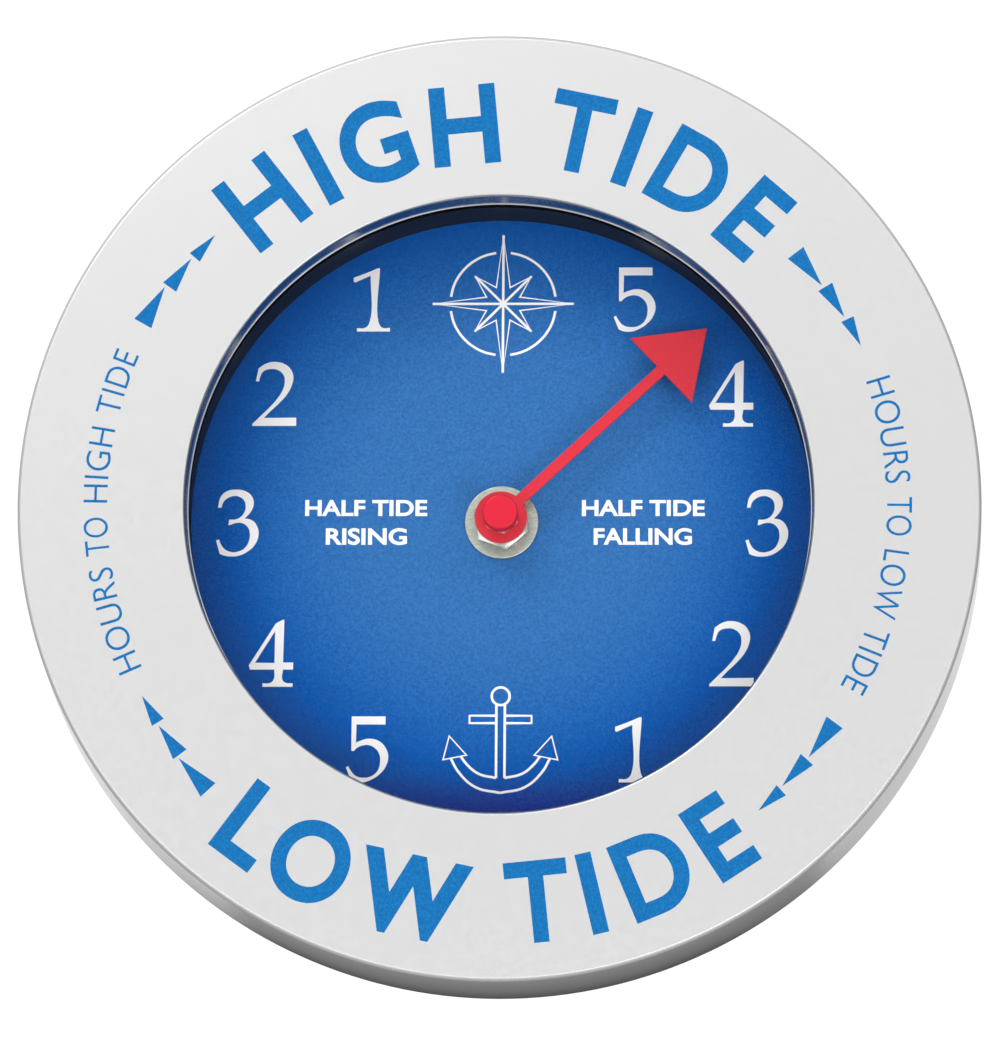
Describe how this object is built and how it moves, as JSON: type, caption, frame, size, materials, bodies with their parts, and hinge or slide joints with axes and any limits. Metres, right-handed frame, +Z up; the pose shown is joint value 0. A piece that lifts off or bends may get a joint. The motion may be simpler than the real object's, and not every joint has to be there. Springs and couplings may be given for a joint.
{
  "type": "tide clock",
  "caption": "Round wall tide clock: a broad flat metal ring around a deep glazed dial, with one geared pointer that is set by a knob behind.",
  "frame": {"origin": "on the dial's axis, in the plane of the drum's back face, which meets the wall", "axes": "+X to the right seen from the front, +Y into the wall, so the dial faces -Y, +Z up the dial"},
  "size_m": [0.2048, 0.0441, 0.2048],
  "materials": {
    "satin_aluminium": "satin anodised",
    "clear_glass": "clear polished",
    "black_rubber": "matt",
    "black_spacer": "satin moulded",
    "blue_dial": "satin printed sheet",
    "black_back": "fine moulded texture",
    "plated_steel": "nickel plated",
    "brass": "turned",
    "red_pointer": "painted sheet",
    "red_cap": "gloss moulded",
    "black_movement": "moulded",
    "wheel_plastic": "moulded",
    "motor_iron": "stamped",
    "copper_wire": "enamelled wire",
    "green_board": "solder mask",
    "cell_jacket": "plain jacket"
  },
  "bodies": {
    "case": {"case_ring": "satin_aluminium", "lens": "clear_glass", "lens_gasket": "black_rubber", "spacer_ring": "black_spacer", "dial": "blue_dial", "back_cover": "black_back", "back_screws": "plated_steel", "hanger_plate": "plated_steel", "hanger_rivets": "plated_steel", "threaded_bush": "brass", "rubber_washer": "black_rubber", "dial_washer": "plated_steel", "dial_nut": "plated_steel", "movement_case": "black_movement", "movement_cover": "black_movement", "train_plate": "wheel_plastic", "stator": "motor_iron", "coil_core": "motor_iron", "coil_bobbin": "wheel_plastic", "coil_winding": "copper_wire", "circuit_board": "green_board", "driver_chip": "black_movement", "quartz_crystal": "plated_steel", "positive_contact": "plated_steel", "negative_contact": "plated_steel", "dry_cell": "cell_jacket"},
    "tide_pointer": {"pointer": "red_pointer", "pointer_nut": "plated_steel", "pointer_cap": "red_cap", "tide_arbor": "brass", "tide_wheel": "wheel_plastic"},
    "setting": {"motion_wheel": "wheel_plastic", "setting_knob": "black_movement"},
    "cannon": {"cannon_pinion": "wheel_plastic", "clutch_spring": "brass"},
    "centre": {"centre_wheel": "wheel_plastic"},
    "third": {"third_wheel": "wheel_plastic"},
    "fourth": {"fourth_wheel": "wheel_plastic"},
    "fifth": {"fifth_wheel": "wheel_plastic"},
    "motor": {"rotor": "wheel_plastic", "rotor_magnet": "motor_iron"}
  },
  "joints": [
    {"name": "pointer_turn", "type": "hinge", "parent": "case", "child": "tide_pointer", "pos_m": [0, 0, 0], "axis": [0, 1, 0], "continuous": true},
    {"name": "setting_turn", "type": "hinge", "parent": "case", "child": "setting", "pos_m": [0.01008, 0, 0.0047], "axis": [0, 1, 0], "continuous": true},
    {"name": "cannon_turn", "type": "hinge", "parent": "case", "child": "cannon", "pos_m": [0, 0, 0], "axis": [0, 1, 0], "continuous": true},
    {"name": "fourth_turn", "type": "hinge", "parent": "case", "child": "fourth", "pos_m": [0, 0, 0], "axis": [0, 1, 0], "continuous": true},
    {"name": "centre_turn", "type": "hinge", "parent": "case", "child": "centre", "pos_m": [0, 0, 0], "axis": [0, 1, 0], "continuous": true},
    {"name": "third_turn", "type": "hinge", "parent": "case", "child": "third", "pos_m": [-0.00873, 0, 0.00318], "axis": [0, 1, 0], "continuous": true},
    {"name": "fifth_turn", "type": "hinge", "parent": "case", "child": "fifth", "pos_m": [0, 0, 0.00923], "axis": [0, 1, 0], "continuous": true},
    {"name": "motor_turn", "type": "hinge", "parent": "case", "child": "motor", "pos_m": [0, 0, 0.01715], "axis": [0, 1, 0], "continuous": true}
  ],
  "couplings": [
    {"joint": "setting_turn", "follows": "pointer_turn", "ratio": -3.6},
    {"joint": "cannon_turn", "follows": "pointer_turn", "ratio": 12.42},
    {"joint": "third_turn", "follows": "fourth_turn", "ratio": -0.13333},
    {"joint": "centre_turn", "follows": "fourth_turn", "ratio": 0.016667},
    {"joint": "fifth_turn", "follows": "fourth_turn", "ratio": -6},
    {"joint": "motor_turn", "follows": "fourth_turn", "ratio": 30}
  ]
}
